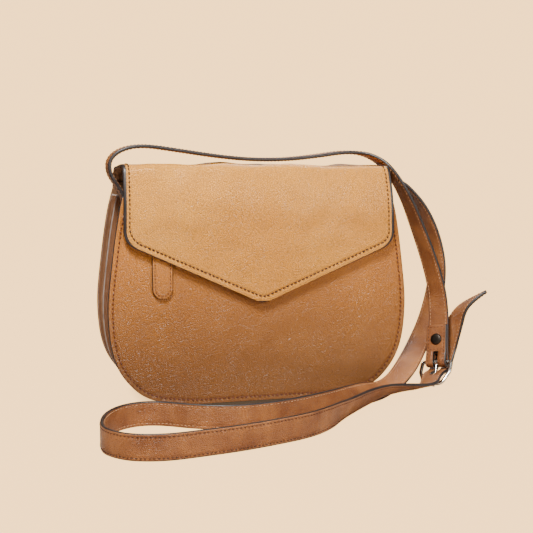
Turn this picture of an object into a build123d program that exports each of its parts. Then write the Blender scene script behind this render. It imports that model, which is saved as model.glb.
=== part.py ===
from build123d import *
import math
import os

# Sling bag: a leather saddle bag with an envelope flap, two gusseted compartments,
# a front zip pocket and a long strap with a buckle. Millimetres, +Z up, front towards -Y.

# --- Driving dimensions -----------------------------------------------------------------
HALF_WIDTH = 135.0          # widest half width of the panels
WIDEST_Z = 82.0             # height of the widest place
BASE_HALF = 60.0            # half width of the flat base
FRONT = -37.5               # outer face of the front panel
BACK = 40.0                 # outer face of the back panel
PANEL_TOP = 182.0           # top edge of the front panel and the gussets
BACK_TOP = 192.0            # top edge of the back panel, under the flap
DIVIDER_TOP = 174.0
BEND_START = 160.0          # above this height the panels lean inwards
BEND_RADIUS = 102.8
PANEL_THICK = 1.8
GUSSET_THICK = 1.4
SEAM_INSET = 7.0            # the gusset walls stand this far inside the panel edges
EDGE_STEP = 0.4             # the gusset flanges stop this far inside the panel edges
LINING_THICK = 0.6
LINING_INSET = 8.7
FRONT_LINING_DEPTH = 9.0    # the front lining hangs behind the zip pocket
CLEAR = 0.3

FLAP_HALF = 121.7           # half width of the flap at its lower corners
FLAP_TOP_HALF = 119.5
FLAP_CORNER_Z = 140.0
FLAP_TIP_Z = 87.5           # the point of the flap before it is rounded
FLAP_GAP = 3.2              # from the front panel to the flap's lining
FLAP_LINING = 1.0
FLAP_LEATHER = 1.6
FLAP_SPLIT_Z = 189.5        # top edge of the lifting part
FLAP_AXIS = (-27.9, 197.9)  # y and z of the fold that the flap lifts about
FLAP_OUTER_RADIUS = 7.6     # from the fold axis to the flap's outer face
FLAP_BACK_Z = 158.0         # lower edge of the part sewn to the back panel
FLAP_LEAN = 20              # degrees that the back of the flap leans forward above the bend
FLAP_TOP_RADIUS = 13.0      # outer radius where it turns over the top

MAGNET_Z = 103.0
MAGNET_RADIUS = 7.2

ZIP_Z = 150.0
ZIP_HALF = 98.0
ZIP_SLOT = 11.0
TOOTH_PITCH = 2.5
SLIDER_X = -88.3
TAB_WIDTH = 17.4
TAB_BOTTOM = 94.5
TAB_TOP = 141.0
LINK_BACK = FRONT - 0.9
LINK_FRONT = FRONT - 2.2
LINK_BOTTOM = 134.0

STRAP_WIDTH = 20.0
STRAP_THICK = 3.0
WIRE = 1.3                  # radius of the buckle's wire

FAR = 160.0                 # larger than any half size of the bag
MIDDLE = (FRONT + BACK) / 2
DIVIDER_FRONT = MIDDLE - PANEL_THICK / 2
DIVIDER_BACK = MIDDLE + PANEL_THICK / 2

os.makedirs("parts", exist_ok=True)


def save(shape, node):
    shape.label = node
    export_step(shape, f"parts/{node}.step")


def span(x0, x1, y0, y1, z0, z1):
    """Box between two corners."""
    middle = ((x0 + x1) / 2, (y0 + y1) / 2, (z0 + z1) / 2)
    return Pos(*middle) * Box(x1 - x0, y1 - y0, z1 - z0)


def below(top):
    return span(-FAR, FAR, -FAR, FAR, -1, top)


# --- Shapes shared by the body ------------------------------------------------------------
def side_curve(inset):
    """Right-hand side of the body in front view, from the flat base to above the top."""
    side = Spline(
        (BASE_HALF, 0), (97, 6), (118, 21.5), (131, 46), (HALF_WIDTH, WIDEST_Z),
        (131.5, 122), (124, 170), (112, 215), tangents=[(1, 0), (-0.3, 1)],
    )
    if inset == 0:
        return side
    points = []
    for i in range(17):
        heading = side % (i / 16)
        points.append(side @ (i / 16) + Vector(-heading.Y, heading.X) * inset)
    return Spline(points, tangents=[side % 0, side % 1])


def side_x(z):
    """Half width of the body at a height."""
    curve = side_curve(0)
    low, high = 0.0, 1.0
    while high - low > 1e-6:
        middle = (low + high) / 2
        if (curve @ middle).Y < z:
            low = middle
        else:
            high = middle
    return (curve @ low).X


def outline(inset):
    """Front view of the bag's body, made smaller by inset, as a long prism along Y."""
    right = side_curve(inset)
    left = mirror(right, Plane.YZ)
    face = make_face([right, Line(right @ 1, left @ 1), left, Line(left @ 0, right @ 0)])
    return extrude(Plane.XZ * face, amount=FAR, both=True)


def bend_point(depth, angle):
    reach = BEND_RADIUS - depth
    return (
        FRONT + BEND_RADIUS - reach * math.cos(angle),
        BEND_START + reach * math.sin(angle),
    )


def front_layer(depth_a, depth_b):
    """Slab that follows the front panel, between two depths behind its outer face."""
    top = math.radians(24)
    face = make_face([
        Line((FRONT + depth_a, -2), (FRONT + depth_a, BEND_START)),
        ThreePointArc(bend_point(depth_a, 0), bend_point(depth_a, top / 2), bend_point(depth_a, top)),
        Line(bend_point(depth_a, top), bend_point(depth_b, top)),
        ThreePointArc(bend_point(depth_b, top), bend_point(depth_b, top / 2), bend_point(depth_b, 0)),
        Line((FRONT + depth_b, BEND_START), (FRONT + depth_b, -2)),
        Line((FRONT + depth_b, -2), (FRONT + depth_a, -2)),
    ])
    return extrude(Plane.YZ * face, amount=FAR, both=True)


def back_layer(depth_a, depth_b):
    """The same slab for the back panel."""
    return mirror(front_layer(depth_a, depth_b), Plane.XZ.offset(-MIDDLE))


def between(y0, y1):
    return span(-FAR, FAR, y0, y1, -2, 260)


# --- Body of the bag ------------------------------------------------------------------------
def front_panel():
    slot = Pos(0, FRONT, ZIP_Z) * extrude(Plane.XZ * SlotOverall(2 * ZIP_HALF + 8, ZIP_SLOT), 5, both=True)
    return (outline(0) & front_layer(0, PANEL_THICK) & below(PANEL_TOP)) - slot


def back_panel():
    return outline(0) & back_layer(0, PANEL_THICK) & below(BACK_TOP)


def divider_panel():
    return outline(EDGE_STEP) & between(DIVIDER_FRONT, DIVIDER_BACK) & below(DIVIDER_TOP)


def gusset(space, flange_a, flange_b):
    """U-shaped strip between two panels, with both edges turned outwards."""
    wall = (outline(SEAM_INSET) - outline(SEAM_INSET + GUSSET_THICK)) & space
    flange = (outline(EDGE_STEP) - outline(SEAM_INSET + GUSSET_THICK)) & (flange_a + flange_b)
    return (wall + flange) & below(PANEL_TOP)


def front_gusset():
    panel_side = front_layer(PANEL_THICK, PANEL_THICK + GUSSET_THICK)
    divider_side = between(DIVIDER_FRONT - GUSSET_THICK, DIVIDER_FRONT)
    space = front_layer(PANEL_THICK, 60) & between(-FAR, DIVIDER_FRONT)
    return gusset(space, panel_side, divider_side)


def rear_gusset():
    panel_side = back_layer(PANEL_THICK, PANEL_THICK + GUSSET_THICK)
    divider_side = between(DIVIDER_BACK, DIVIDER_BACK + GUSSET_THICK)
    space = back_layer(PANEL_THICK, 60) & between(DIVIDER_BACK, FAR)
    return gusset(space, panel_side, divider_side)


def front_lining():
    outer = outline(LINING_INSET) & front_layer(FRONT_LINING_DEPTH, 70)
    outer &= between(-FAR, DIVIDER_FRONT - CLEAR)
    inner = outline(LINING_INSET + LINING_THICK) & front_layer(FRONT_LINING_DEPTH + LINING_THICK, 80)
    inner &= between(-FAR, DIVIDER_FRONT - CLEAR - LINING_THICK)
    return (outer - inner) & below(PANEL_TOP - 1)


def rear_lining():
    depth = PANEL_THICK + CLEAR
    outer = outline(LINING_INSET) & back_layer(depth, 70) & between(DIVIDER_BACK + CLEAR, FAR)
    inner = outline(LINING_INSET + LINING_THICK) & back_layer(depth + LINING_THICK, 80)
    inner &= between(DIVIDER_BACK + CLEAR + LINING_THICK, FAR)
    return (outer - inner) & below(PANEL_TOP - 1)


def pouch(x, y0, y1, z0, z1):
    """Flat pocket of thin cloth, open at its top."""
    outer = span(-x, x, y0, y1, z0, z1)
    inner = span(-x + LINING_THICK, x - LINING_THICK, y0 + LINING_THICK, y1 - LINING_THICK,
                 z0 + LINING_THICK, z1 + 1)
    return outer - inner


def slip_pocket():
    back = BACK - PANEL_THICK - CLEAR - LINING_THICK - CLEAR
    return pouch(70, back - 2.6, back, 45, 128)


# --- Flap -----------------------------------------------------------------------------------
def flap_outline(inset):
    """Front view of the flap: straight sides, two rounded corners and a rounded point."""
    slope = math.atan2(FLAP_CORNER_Z - FLAP_TIP_Z, FLAP_HALF)
    rise = inset / math.cos(slope)
    side = inset
    top = 230
    corners = [
        (-FLAP_TOP_HALF + side, top),
        (-FLAP_HALF + side, FLAP_CORNER_Z + rise - side * math.tan(slope)),
        (0, FLAP_TIP_Z + rise),
        (FLAP_HALF - side, FLAP_CORNER_Z + rise - side * math.tan(slope)),
        (FLAP_TOP_HALF - side, top),
    ]
    path = FilletPolyline(*corners, radius=[22, 17, 17])
    face = make_face([path, Line(corners[-1], corners[0])])
    return extrude(Plane.XZ * face, amount=FAR, both=True)


def flap_front():
    return flap_outline(0) & front_layer(-FLAP_GAP - FLAP_LINING - FLAP_LEATHER, -FLAP_GAP - FLAP_LINING) \
        & below(FLAP_SPLIT_Z)


def disc(radius, y0, y1, z):
    return Pos(0, (y0 + y1) / 2, z) * Rot(90, 0, 0) * Cylinder(radius, y1 - y0)


def flap_lining():
    layer = flap_outline(0.8) & front_layer(-FLAP_GAP - FLAP_LINING, -FLAP_GAP) & below(FLAP_SPLIT_Z)
    return layer - disc(MAGNET_RADIUS + 0.1, FRONT - 6, FRONT, MAGNET_Z)


def flap_magnet():
    return disc(MAGNET_RADIUS, FRONT - FLAP_GAP - FLAP_LINING + 0.05, FRONT - FLAP_GAP - 0.1, MAGNET_Z)


def panel_magnet():
    return disc(MAGNET_RADIUS, FRONT + PANEL_THICK, FRONT + PANEL_THICK + 1.2, MAGNET_Z)


def flap_profile(inset):
    """Side view of the flap's fixed part, as a region under its outer face."""
    lean = math.radians(FLAP_LEAN)
    back = BACK + FLAP_LINING + FLAP_LEATHER - inset
    radius = BEND_RADIUS + FLAP_LINING + FLAP_LEATHER - inset
    knee = BEND_START + radius * math.tan(lean / 2)
    top = FLAP_AXIS[1] + FLAP_OUTER_RADIUS - inset
    over = 0 if inset == 0 else 12
    rise = FilletPolyline(
        (back, FLAP_BACK_Z - over),
        (back, knee),
        (back - (top - knee) * math.tan(lean), top),
        (FLAP_AXIS[0] - over, top),
        radius=[radius, FLAP_TOP_RADIUS - inset],
    )
    foot = (FLAP_AXIS[0] - over, FLAP_BACK_Z - over)
    return make_face([rise, Line(rise @ 1, foot), Line(foot, rise @ 0)])


def flap_top():
    strip = flap_profile(0) - flap_profile(FLAP_LINING + FLAP_LEATHER)
    return extrude(Plane.YZ * strip, amount=FLAP_TOP_HALF, both=True)


# --- Front zip pocket ----------------------------------------------------------------------
def zip_tapes():
    layer = front_layer(PANEL_THICK, PANEL_THICK + 0.7)
    x = ZIP_HALF + 8
    upper = span(-x, x, -FAR, 0, ZIP_Z + 3.4, ZIP_Z + 13)
    lower = span(-x, x, -FAR, 0, ZIP_Z - 13, ZIP_Z - 3.4)
    return (layer & upper) + (layer & lower)


def zip_teeth():
    teeth = []
    count = int(2 * (ZIP_HALF - 3) / TOOTH_PITCH) + 1
    for i in range(count):
        x = -(ZIP_HALF - 3) + i * TOOTH_PITCH
        for side in (-1, 1):
            teeth.append(Pos(x, FRONT + 1.8, ZIP_Z + side * 2.0) * Box(1.5, 2.2, 2.8))
    return Compound(children=teeth)


def zip_stops():
    stops = [Pos(x, FRONT + 1.8, ZIP_Z) * Box(2.4, 2.6, 6.4) for x in (-ZIP_HALF, ZIP_HALF)]
    return Compound(children=stops)


def zip_slider():
    face = span(-6, 6, FRONT - 0.6, FRONT + 0.4, -4.5, 4.5)
    sole = span(-6, 6, FRONT + 3.2, FRONT + 4.1, -4.5, 4.5)
    neck = span(-2.5, 2.5, FRONT + 0.4, FRONT + 3.2, -0.4, 0.4)
    post = Pos(0, FRONT - 1.5, 0) * Rot(90, 0, 0) * Cylinder(1.1, 1.8)
    head = Pos(0, FRONT - 2.6, 0) * Rot(90, 0, 0) * Cylinder(1.9, 0.5)
    return Pos(SLIDER_X, 0, ZIP_Z) * (face + sole + neck + post + head)


def pull_link():
    """Flat metal link that turns on the slider's post and holds the leather tab."""
    eye = Pos(SLIDER_X, 0, ZIP_Z) * extrude(Plane.XZ * Circle(3.4), 3, both=True)
    stem = span(SLIDER_X - 2.4, SLIDER_X + 2.4, -3, 3, LINK_BOTTOM, ZIP_Z)
    hole = Pos(SLIDER_X, 0, ZIP_Z) * extrude(Plane.XZ * Circle(1.4), 3, both=True)
    blank = Pos(0, (LINK_BACK + LINK_FRONT) / 2, 0) * (eye + stem - hole)
    return blank & between(LINK_FRONT, LINK_BACK)


def pull_tab():
    half = TAB_WIDTH / 2
    low = TAB_BOTTOM + half
    face = make_face([
        Line((-half, low), (-half, TAB_TOP - 5)),
        Line((-half, TAB_TOP - 5), (-half + 3.5, TAB_TOP)),
        Line((-half + 3.5, TAB_TOP), (half - 3.5, TAB_TOP)),
        Line((half - 3.5, TAB_TOP), (half, TAB_TOP - 5)),
        Line((half, TAB_TOP - 5), (half, low)),
        ThreePointArc((half, low), (0, TAB_BOTTOM), (-half, low)),
    ])
    body = Pos(SLIDER_X, FRONT - 1.6, 0) * extrude(Plane.XZ * face, 1.25, both=True)
    return body - pull_link()


def zip_pocket_bag():
    slot = span(-ZIP_HALF, ZIP_HALF, FRONT + 3, FRONT + 6, ZIP_Z - 6, ZIP_Z + 6)
    return pouch(ZIP_HALF + 4, FRONT + 4.4, FRONT + 8.6, 62, 158) - slot


# --- Strap ----------------------------------------------------------------------------------
# Each route lists a centre point and the direction across the strap towards the edge that
# is nearer the front, or lower where the strap stands on its edge.
BUCKLE_CENTRE = Vector(168.4, -36.9, 25.2)      # middle of the heel bar
BUCKLE_ACROSS = Vector(0.671, -0.726, 0.150)    # along the heel bar
BUCKLE_ALONG = Vector(-0.421, -0.539, -0.729)   # from the heel bar to the far end
BUCKLE_INNER = Vector(-0.611, -0.426, 0.667)    # towards the inner face of the straps
STRAP_UP = BUCKLE_ALONG * -0.9236 + BUCKLE_INNER * 0.3834       # along the short strap's end
STRAP_INNER = BUCKLE_ALONG * 0.3834 + BUCKLE_INNER * 0.9236     # square to it


def at_buckle(along, inner):
    """Point in the buckle's middle plane."""
    return tuple(BUCKLE_CENTRE + BUCKLE_ALONG * along + BUCKLE_INNER * inner)


def at_fold(up, inner):
    """Point on the folded end of the short strap, measured from the heel bar."""
    return tuple(BUCKLE_CENTRE + STRAP_UP * up + STRAP_INNER * inner)


def anchor_point(side, y, z):
    """Centre of a strap that lies on the outside of the front gusset."""
    return (side * (side_x(z) - SEAM_INSET + STRAP_THICK / 2 + 0.15), y, z)


ACROSS = tuple(BUCKLE_ACROSS)
AGAINST = tuple(BUCKLE_ACROSS * -1)
FORWARD = (0, -1, 0)
DOWN = (0, 0, -1)

SHORT_ROUTE = [
    (anchor_point(-1, -15, 147), FORWARD), (anchor_point(-1, -15, 164), FORWARD),
    (anchor_point(-1, -15, 180), FORWARD),
    ((-123, -14, 191), FORWARD), ((-129.5, -13, 201), FORWARD), ((-129.5, -12, 213), FORWARD),
    ((-119, -12, 221.5), FORWARD), ((-100, -11, 225), FORWARD), ((-66, -9, 220), FORWARD),
    ((-32, -6, 215), FORWARD), ((0, -2, 212), FORWARD), ((32, 1, 212), FORWARD),
    ((62, 2, 215), FORWARD), ((86, 2, 218.5), FORWARD), ((106, 1, 218), FORWARD),
    ((119, -9.5, 211), FORWARD), ((128.2, -22.2, 198.7), (0, -1, 0.1)),
    ((142.4, -22.2, 175.6), (0.1, -0.99, 0.1)), ((154.8, -19.5, 148.6), (0.25, -0.96, 0.1)),
    ((167.2, -18.8, 118.2), (0.38, -0.92, 0.09)),
    ((175, -20, 90), (0.47, -0.87, 0.05)), (at_fold(46, -1.9), (0.6, -0.79, 0.12)),
    (at_fold(28, -1.6), ACROSS), (at_fold(10, -1.7), ACROSS), (at_fold(3.4, -3.2), ACROSS),
    (at_fold(-3.3, -3.4), ACROSS), (at_fold(-3.3, 3.4), ACROSS), (at_fold(3.4, 3.2), ACROSS),
    (at_fold(10, 1.7), ACROSS), (at_fold(22, 1.55), ACROSS), (at_fold(35, 1.7), ACROSS),
]

LONG_ROUTE = [
    (anchor_point(1, -12, 147), FORWARD), (anchor_point(1, -12, 163), FORWARD),
    (anchor_point(1, -14.6, 178.5), FORWARD), ((123.5, -7, 188), FORWARD),
    ((134, 7, 192.5), FORWARD), ((149, 12.5, 190.5), FORWARD),
    ((159.5, 12, 180.7), (-0.03, -0.99, 0.13)), ((170, 11.5, 167.6), (0.08, -0.98, 0.18)),
    ((178.6, 11, 151.6), (0.2, -0.96, 0.12)), ((184.6, 9.7, 132.6), (0.32, -0.94, 0.1)),
    ((187.6, 7.7, 111.5), (0.43, -0.9, 0.03)), ((185.8, 6.2, 91.4), (0.5, -0.85, -0.17)),
    ((180, 2.8, 71.4), (0.5, -0.82, -0.25)), ((171.3, -3, 53.4), (0.5, -0.8, -0.3)),
    ((160.3, -12.5, 40.4), (0.5, -0.79, -0.32)), ((147.6, -27, 30.5), (0.47, -0.8, -0.37)),
    ((133, -44, 22), (0.37, -0.84, -0.4)), ((119, -54, 13), (0.18, -0.9, -0.41)),
    ((103, -60, 7.8), (-0.14, -0.9, -0.42)), ((86, -70, 8.6), (-0.16, -0.76, -0.62)),
    ((70, -84, 10.2), (-0.17, -0.6, -0.78)), ((45, -100, 10.3), (-0.05, -0.19, -0.98)),
    ((14, -115, 10.3), DOWN), ((-18, -127, 10.3), DOWN), ((-50, -130, 10.3), DOWN),
    ((-78, -118, 10.3), DOWN), ((-100, -101, 10.3), DOWN), ((-118, -97, 10.3), DOWN),
    ((-135, -105, 10.3), DOWN), ((-148, -123, 10.3), DOWN), ((-155, -147, 10.3), DOWN),
    ((-156, -168, 10.3), DOWN), ((-151, -180, 10.3), DOWN), ((-142, -191, 10.3), DOWN),
    ((-130, -197, 10.3), DOWN), ((-112, -200, 10.3), DOWN), ((-88, -196, 10.3), DOWN),
    ((-58, -190, 10.3), DOWN), ((-30, -181, 10.3), DOWN), ((1, -169, 10.3), DOWN),
    ((24, -152, 10.3), (0.03, 0.1, -0.99)), ((46, -126, 9.5), (0.18, 0.67, -0.72)),
    ((75, -99, 11), (0.31, 0.74, -0.6)), ((100, -81, 12), (0.33, 0.8, -0.5)),
    ((126, -66, 10), (0.1, 0.87, -0.4)), (at_buckle(30, 6.2), (-0.4, 0.8, -0.25)),
    (at_buckle(16, 4.8), AGAINST), (at_buckle(3, -9.2), AGAINST),
    ((183, -25, 32), (-0.6, 0.78, -0.2)), ((186.5, -25, 45), (-0.5, 0.85, -0.15)),
    ((190, -27, 59), (-0.4, 0.9, -0.1)), ((196, -29, 73), (0, 0.99, 0)),
    ((206, -32, 82), (0.3, 0.94, -0.08)), ((217, -34.5, 88.5), (0.45, 0.88, -0.13)),
]


def route_path(route):
    """Straight runs joined by tangent arcs, each arc as large as its two runs allow."""
    points = [Vector(*point) for point, _ in route]
    radii = []
    for before, corner, after in zip(points, points[1:], points[2:]):
        turn = math.radians((corner - before).get_angle(after - corner))
        shorter = min((corner - before).length, (after - corner).length)
        radii.append(0.45 * shorter / math.tan(turn / 2))
    return FilletPolyline(*points, radius=radii), radii


def strap_band(route, step):
    """Flat strap along a route, as ruled stretches between its cross-sections."""
    path, radii = route_path(route)
    points = [Vector(*point) for point, _ in route]
    marks = [0.0]
    for before, after in zip(points, points[1:]):
        marks.append(marks[-1] + (after - before).length)
    marks = [mark / marks[-1] for mark in marks]
    count = round(path.length / step)
    sections = []
    for i in range(count + 1):
        part = i / count
        leg = max(k for k in range(len(marks) - 1) if marks[k] <= part or k == 0)
        blend = (part - marks[leg]) / (marks[leg + 1] - marks[leg])
        across = Vector(*route[leg][1]) * (1 - blend) + Vector(*route[leg + 1][1]) * blend
        along = path % part
        across = (across - along * across.dot(along)).normalized()
        plane = Plane(origin=path @ part, x_dir=across, z_dir=along)
        sections.append(plane * Rectangle(STRAP_WIDTH, STRAP_THICK))
    band = loft(sections, ruled=True)
    ideal = path.length * STRAP_WIDTH * STRAP_THICK
    print(f"strap length {path.length:.0f} volume ratio {band.volume / ideal:.3f}")
    print("radii", [round(radius, 1) for radius in radii])
    return band


def buckle_plane():
    return Plane(origin=BUCKLE_CENTRE, x_dir=BUCKLE_ACROSS, z_dir=BUCKLE_ACROSS.cross(BUCKLE_ALONG))


def buckle_frame():
    """Rounded wire frame: a straight heel bar and a bow that narrows to the far end."""
    bow = [(-14.3, 0), (14.3, 0), (14.3, 11), (8.5, 23.4), (-8.5, 23.4), (-14.3, 11)]
    path = FilletPolyline(*bow, radius=[2.2, 2.2, 6, 6, 6, 6], close=True)
    ring = Plane(origin=path @ 0, z_dir=path % 0) * Circle(WIRE)
    return buckle_plane() * sweep(ring, path=path)


def prong_slot(start, end):
    """Room for the prong to swing through a strap, between two distances from the heel bar."""
    return buckle_plane() * span(-2.6, 2.6, start, end, -16, 16)


def buckle_prong():
    ring = Rot(0, 90, 0) * (Cylinder(2.9, 3.6) - Cylinder(1.45, 3.6))
    start = Vector(0, 2.2, 0)
    tip = Vector(0, 24.6, 2 * WIRE + 0.1)
    rod = Plane(origin=start, z_dir=tip - start) * extrude(Circle(1.1), (tip - start).length)
    bore = Rot(0, 90, 0) * Cylinder(1.45, 6)
    return buckle_plane() * (ring + rod - bore)


def strap_rivet():
    """Rivet through both layers of the folded strap."""
    place = Plane(origin=at_fold(21, 0), x_dir=BUCKLE_ACROSS, z_dir=STRAP_INNER)
    shaft = Cylinder(1.6, 7.4)
    inner_cap = Pos(0, 0, 3.7) * Cylinder(5.2, 1.0)
    outer_cap = Pos(0, 0, -3.7) * Cylinder(5.2, 1.0)
    return place * (shaft + inner_cap + outer_cap)


def strap_short():
    band = strap_band(SHORT_ROUTE, 4.0)
    return band - anchor_rivets() - strap_rivet() - prong_slot(-8.5, 7)


def strap_long():
    return strap_band(LONG_ROUTE, 6.0) - anchor_rivets() - prong_slot(-1.5, 18)


# --- Strap anchors ---------------------------------------------------------------------------
def anchor_patch(side):
    """Leather patch inside the gusset, behind the sewn end of the strap."""
    shell = outline(9.7) - outline(11.2)
    edge = sorted((side * 90, side * 140))
    return shell & span(edge[0], edge[1], -25, -3.5, 150, 180)


def anchor_rivets():
    rivets = []
    for side, y in ((-1, -15), (1, -12)):
        for z in (155, 169):
            inside = side_x(z) - 11.3
            outside = side_x(z) - SEAM_INSET + STRAP_THICK + 0.2
            shaft = span(inside, outside, -1.4, 1.4, -1.4, 1.4)
            heads = span(inside - 1.0, inside, -3.5, 3.5, -3.5, 3.5)
            heads += span(outside, outside + 1.0, -3.5, 3.5, -3.5, 3.5)
            shape = shaft & Rot(0, 90, 0) * Cylinder(1.4, 2 * FAR)
            shape += heads & Rot(0, 90, 0) * Cylinder(3.5, 2 * FAR)
            if side < 0:
                shape = mirror(shape, Plane.YZ)
            rivets.append(Pos(0, y, z) * shape)
    return Compound(children=rivets)


# --- Write every piece ------------------------------------------------------------------------
rivets = anchor_rivets()
save(front_panel(), "front_panel")
save(back_panel(), "back_panel")
save(divider_panel(), "divider_panel")
save(front_gusset() - rivets, "front_gusset")
save(rear_gusset(), "rear_gusset")
save(front_lining() - rivets, "front_lining")
save(rear_lining(), "rear_lining")
save(slip_pocket(), "slip_pocket")
save(flap_top(), "flap_top")
save(flap_front(), "flap_front")
save(flap_lining(), "flap_lining")
save(flap_magnet(), "flap_magnet")
save(panel_magnet(), "panel_magnet")
save(zip_tapes(), "zip_tapes")
save(zip_teeth(), "zip_teeth")
save(zip_stops(), "zip_stops")
save(zip_slider(), "zip_slider")
save(pull_link(), "pull_link")
save(pull_tab(), "pull_tab")
save(zip_pocket_bag(), "zip_pocket_bag")
save(anchor_patch(-1) - rivets, "anchor_patch_left")
save(anchor_patch(1) - rivets, "anchor_patch_right")
save(rivets, "anchor_rivets")
save(strap_short(), "strap_short")
save(strap_long(), "strap_long")
save(strap_rivet(), "strap_rivet")
save(buckle_frame(), "buckle_frame")
save(buckle_prong(), "buckle_prong")
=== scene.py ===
import bpy
import bmesh
import math
import numpy as np
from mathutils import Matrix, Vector, noise


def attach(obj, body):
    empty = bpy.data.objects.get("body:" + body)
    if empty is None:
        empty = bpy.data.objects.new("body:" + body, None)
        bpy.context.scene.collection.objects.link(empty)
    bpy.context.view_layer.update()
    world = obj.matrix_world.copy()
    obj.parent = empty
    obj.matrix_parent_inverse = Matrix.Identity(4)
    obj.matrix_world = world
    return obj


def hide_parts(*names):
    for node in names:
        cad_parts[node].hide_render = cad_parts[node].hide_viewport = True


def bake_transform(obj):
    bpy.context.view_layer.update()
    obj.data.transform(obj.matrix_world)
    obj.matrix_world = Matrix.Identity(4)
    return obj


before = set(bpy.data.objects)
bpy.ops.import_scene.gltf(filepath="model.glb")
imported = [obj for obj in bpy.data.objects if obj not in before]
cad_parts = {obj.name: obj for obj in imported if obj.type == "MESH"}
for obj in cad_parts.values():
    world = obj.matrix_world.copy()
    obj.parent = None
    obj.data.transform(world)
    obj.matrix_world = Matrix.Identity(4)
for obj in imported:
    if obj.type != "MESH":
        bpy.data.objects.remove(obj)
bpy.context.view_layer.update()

# Sling bag in tan grained leather. Metres, +Z up, front towards -Y.

# --- Driving sizes, the same as the CAD part's
FRONT = -0.0375             # outer face of the front panel
BACK = 0.040                # outer face of the back panel
PANEL_TOP = 0.182
BACK_TOP = 0.192
DIVIDER_TOP = 0.174
BEND_START = 0.160          # above this height the panels lean inwards
BEND_RADIUS = 0.1028
PANEL_THICK = 0.0018
FLAP_OUT = 0.0058           # from the front panel's outer face to the flap's
FLAP_THICK = 0.0023
FLAP_HALF = 0.1217
FLAP_TOP_HALF = 0.1195
FLAP_CORNER_Z = 0.140
FLAP_TIP_Z = 0.0875
FLAP_TOP_Z = 0.2055
FLAP_BACK_OUT = 0.0026      # from the back panel's outer face to the flap's
FLAP_LINE_Z = 0.080         # the flap's side view starts here, below its tip
ZIP_Z = 0.150
SLOT_HALF = 0.0965          # from the zip slot's middle to the centre of each round end
SLOT_RADIUS = 0.0055
ZIP_SEAM_HALF = 0.1055      # half width of the stitch ring round the slot
ZIP_SEAM_RISE = 0.0085      # from the slot's middle up or down to the ring
SLIDER_X = -0.0883
TAB_HALF = 0.0087
TAB_BOTTOM = 0.0945
TAB_TOP = 0.141
TAB_STRAIGHT = 0.12         # the tab's edges are upright at this height
TAB_OUT = 0.00285           # from the front panel's outer face to the tab's
TAB_THICK = 0.0021
TAB_SEAM = 0.0021           # stitch line's distance from the tab's edge
STRAP_HALF = 0.010
STRAP_THICK = 0.003
STRAP_SEAM = 0.78           # the stitch line's share of the strap's half width
EDGE_FACES = 5              # painted faces at the end of each half of the strap's profile
FOLD_ROWS = (0.0325, 0.0115)    # stitch rows' distances from the heel bar
SEAM = 0.0042               # stitch line's distance from a body panel's edge
FLAP_SEAM = 0.0050          # stitch line's distance from the flap's edge
BAND_THICK = 0.0012         # leather of the gussets
BAND_GAP = 0.0014           # from the divider to the far face of a gusset's turned-out edge
MIDDLE = (FRONT + BACK) / 2

BUCKLE_CENTRE = Vector((0.1684, -0.0369, 0.0252))
BUCKLE_ACROSS = Vector((0.671, -0.726, 0.150))
BUCKLE_ALONG = Vector((-0.421, -0.539, -0.729))
BUCKLE_INNER = Vector((-0.611, -0.426, 0.667))
STRAP_UP = BUCKLE_ALONG * -0.9236 + BUCKLE_INNER * 0.3834
STRAP_INNER = BUCKLE_ALONG * 0.3834 + BUCKLE_INNER * 0.9236


def at_buckle(along, inner):
    """Point in the buckle's middle plane."""
    return tuple(BUCKLE_CENTRE + BUCKLE_ALONG * along + BUCKLE_INNER * inner)


def at_fold(up, inner):
    """Point on the folded end of the short strap, measured from the heel bar."""
    return tuple(BUCKLE_CENTRE + STRAP_UP * up + STRAP_INNER * inner)


ACROSS = tuple(BUCKLE_ACROSS)
AGAINST = tuple(-BUCKLE_ACROSS)
FORWARD = (0, -1, 0)
DOWN = (0, 0, -1)

# The straps' routes: a centre point, and the direction across towards the nearer or lower edge.
SHORT_ROUTE = [
    ((-0.1222, -0.015, 0.147), FORWARD), ((-0.11945, -0.015, 0.164), FORWARD),
    ((-0.117, -0.015, 0.18), FORWARD), ((-0.123, -0.014, 0.191), FORWARD),
    ((-0.1295, -0.013, 0.201), FORWARD), ((-0.1295, -0.012, 0.213), FORWARD),
    ((-0.119, -0.012, 0.2215), FORWARD), ((-0.1, -0.011, 0.225), FORWARD),
    ((-0.066, -0.009, 0.22), FORWARD), ((-0.032, -0.006, 0.215), FORWARD),
    ((0, -0.002, 0.212), FORWARD), ((0.032, 0.001, 0.212), FORWARD),
    ((0.062, 0.002, 0.215), FORWARD), ((0.086, 0.002, 0.2185), FORWARD),
    ((0.106, 0.001, 0.218), FORWARD), ((0.119, -0.0095, 0.211), FORWARD),
    ((0.1282, -0.0222, 0.1987), (0, -1, 0.1)), ((0.1424, -0.0222, 0.1756), (0.1, -0.99, 0.1)),
    ((0.1548, -0.0195, 0.1486), (0.25, -0.96, 0.1)), ((0.1672, -0.0188, 0.1182), (0.38, -0.92, 0.09)),
    ((0.175, -0.02, 0.09), (0.47, -0.87, 0.05)), (at_fold(0.046, -0.0019), (0.6, -0.79, 0.12)),
    (at_fold(0.028, -0.0016), ACROSS), (at_fold(0.010, -0.0017), ACROSS),
    (at_fold(0.0034, -0.0032), ACROSS), (at_fold(-0.0033, -0.0034), ACROSS),
    (at_fold(-0.0033, 0.0034), ACROSS), (at_fold(0.0034, 0.0032), ACROSS),
    (at_fold(0.010, 0.0017), ACROSS), (at_fold(0.022, 0.00155), ACROSS), (at_fold(0.035, 0.0017), ACROSS),
]

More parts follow.
